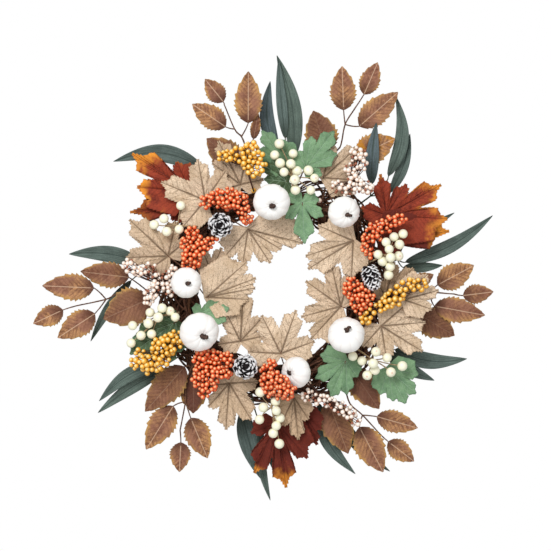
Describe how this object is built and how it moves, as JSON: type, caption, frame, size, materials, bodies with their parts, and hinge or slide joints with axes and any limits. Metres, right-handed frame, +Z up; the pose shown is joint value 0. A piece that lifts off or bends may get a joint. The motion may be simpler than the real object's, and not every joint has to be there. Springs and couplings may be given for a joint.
{
  "type": "harvest door wreath",
  "caption": "Round vine wreath with sprays of autumn leaves, berry clusters, foam pumpkins and pinecones, hung from a wire loop at the back of its ring.",
  "frame": {"origin": "inside top of the hanging loop, where the hook carries it", "axes": "+Z up, +Y into the door, so the decorated face looks along -Y, +X to the viewer's right"},
  "size_m": [0.609, 0.1255, 0.5913],
  "materials": {
    "steel_wire": "plain drawn wire",
    "vine_bark": "dark dried vine bark",
    "willow_leaf": "printed grey-green fabric leaf",
    "beech_leaf": "printed brown fabric leaf with pale edges",
    "rust_leaf": "printed rust-red fabric leaf with golden tips",
    "tan_leaf": "stiffened coarse tan cloth with dark veins",
    "oak_leaf": "printed sage-green fabric leaf",
    "orange_berry": "pearly orange foam bead",
    "yellow_berry": "pearly yellow foam bead",
    "pink_berry": "pale pink-white bead",
    "cream_berry": "satin cream bead",
    "pumpkin_foam": "painted off-white foam with a faint pink blush",
    "pinecone_scale": "dark dried cone with frosted scale tips"
  },
  "bodies": {
    "hanger": {"hanging_loop": "steel_wire"},
    "wreath": {"vine_strand_rear": "vine_bark", "vine_strand_inner": "vine_bark", "vine_strand_outer": "vine_bark", "vine_wrap": "vine_bark", "willow_pick_top": "willow_leaf", "willow_pick_upper_right": "willow_leaf", "willow_pick_right": "willow_leaf", "willow_pick_lower_right": "willow_leaf", "willow_pick_bottom_right": "willow_leaf", "willow_pick_bottom": "willow_leaf", "willow_pick_lower_left": "willow_leaf", "willow_pick_left": "willow_leaf", "willow_pick_upper_left": "willow_leaf", "beech_spray_upper_left": "beech_leaf", "beech_spray_upper_right": "beech_leaf", "beech_spray_right": "beech_leaf", "beech_spray_lower_right": "beech_leaf", "beech_spray_lower_left": "beech_leaf", "beech_spray_left": "beech_leaf", "rust_maple_left": "rust_leaf", "rust_maple_right": "rust_leaf", "rust_maple_bottom": "rust_leaf", "tan_maple_upper_left": "tan_leaf", "tan_maple_left": "tan_leaf", "tan_maple_lower_left": "tan_leaf", "tan_maple_bottom": "tan_leaf", "tan_maple_right": "tan_leaf", "tan_maple_upper_right": "tan_leaf", "oak_pick_top": "oak_leaf", "oak_pick_lower_right": "oak_leaf", "oak_pick_lower_left": "oak_leaf", "orange_berries_upper_left": "orange_berry", "orange_berries_left": "orange_berry", "orange_berries_lower_left": "orange_berry", "orange_berries_bottom": "orange_berry", "orange_berries_right": "orange_berry", "orange_berries_upper_right": "orange_berry", "yellow_berries_top": "yellow_berry", "yellow_berries_lower_left": "yellow_berry", "yellow_berries_right": "yellow_berry", "pink_berries_upper_right": "pink_berry", "pink_berries_left": "pink_berry", "pink_berries_bottom_right": "pink_berry", "cream_berries_top": "cream_berry", "cream_berries_right": "cream_berry", "cream_berries_lower_right": "cream_berry", "cream_berries_bottom": "cream_berry", "cream_berries_left": "cream_berry", "cream_berries_upper_left": "cream_berry", "pumpkin_top": "pumpkin_foam", "pumpkin_upper_right": "pumpkin_foam", "pumpkin_lower_right": "pumpkin_foam", "pumpkin_bottom": "pumpkin_foam", "pumpkin_lower_left": "pumpkin_foam", "pumpkin_left": "pumpkin_foam", "pinecone_upper_left": "pinecone_scale", "pinecone_right": "pinecone_scale", "pinecone_lower_left": "pinecone_scale"}
  },
  "joints": [
    {"name": "hanger_swing", "type": "hinge", "parent": "hanger", "child": "wreath", "pos_m": [0, 0, -0.0327], "axis": [-1, 0, 0], "range_deg": [0, 30]}
  ]
}
